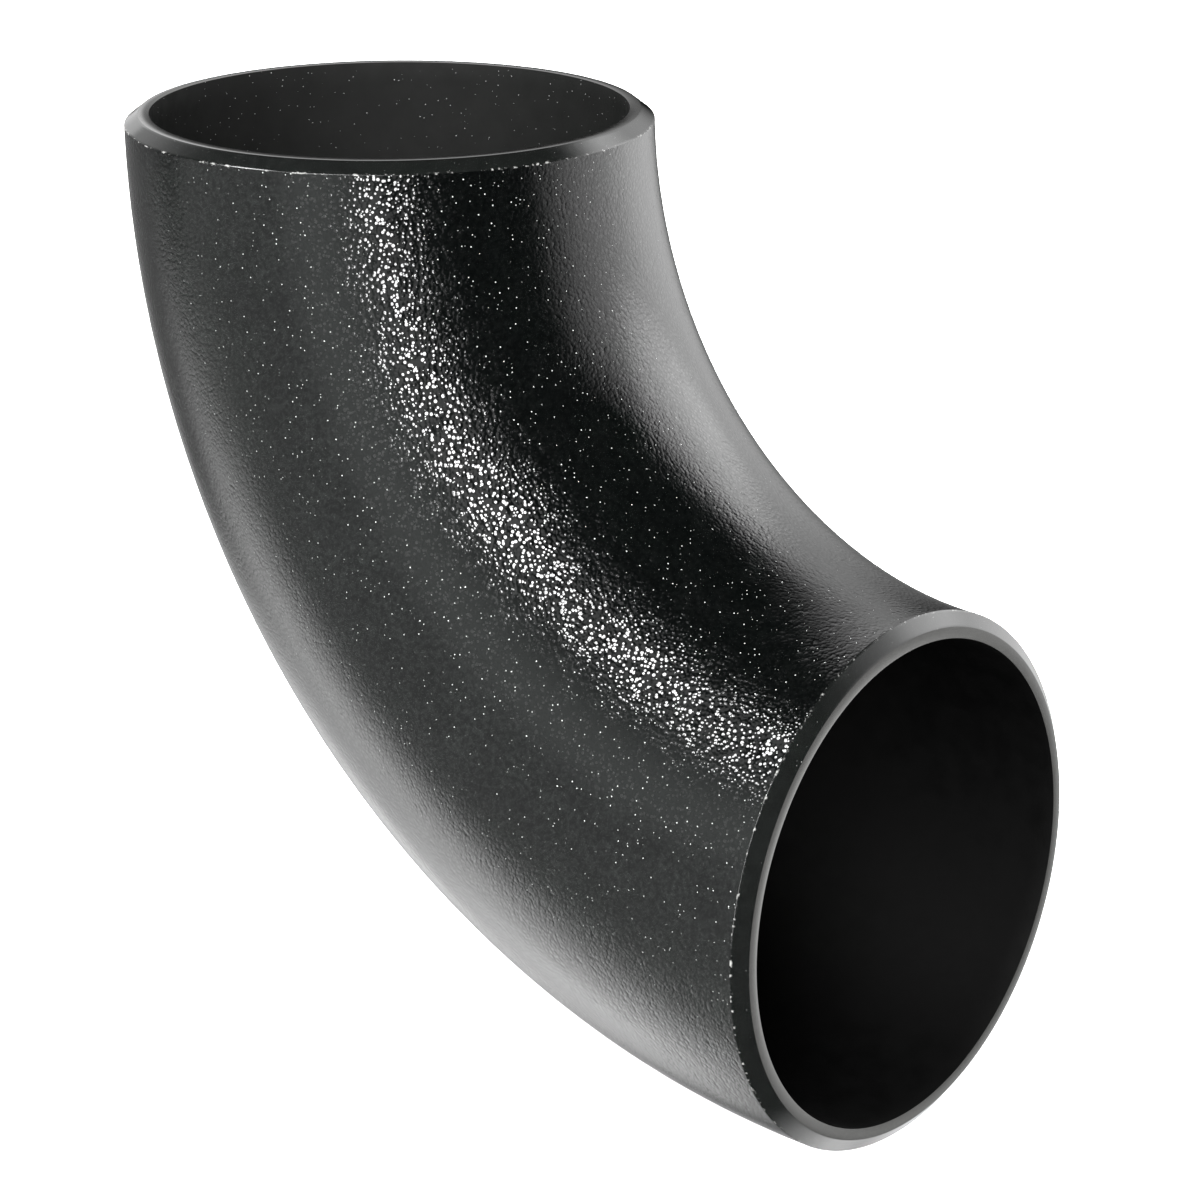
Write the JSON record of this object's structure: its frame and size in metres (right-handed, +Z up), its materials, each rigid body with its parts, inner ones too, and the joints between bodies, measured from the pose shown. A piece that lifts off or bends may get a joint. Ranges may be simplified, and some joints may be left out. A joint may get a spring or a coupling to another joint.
{
  "type": "pipe elbow",
  "caption": "Long-radius butt-weld pipe elbow turning a pipe run through a right angle, open bore, bevelled weld ends, black paint over a pebbled steel skin.",
  "frame": {"origin": "centre of the side weld face, on the axis of the side end", "axes": "+X out of the side weld face along its pipe axis, +Z up out of the top weld face along its pipe axis, Y across the plane of the bend; the top face is centred at X -95 mm, Z 95 mm"},
  "size_m": [0.133, 0.076, 0.133],
  "materials": {
    "black_paint": "satin paint over a finely pebbled skin"
  },
  "bodies": {
    "root": {"elbow_body": "black_paint"}
  },
  "joints": []
}
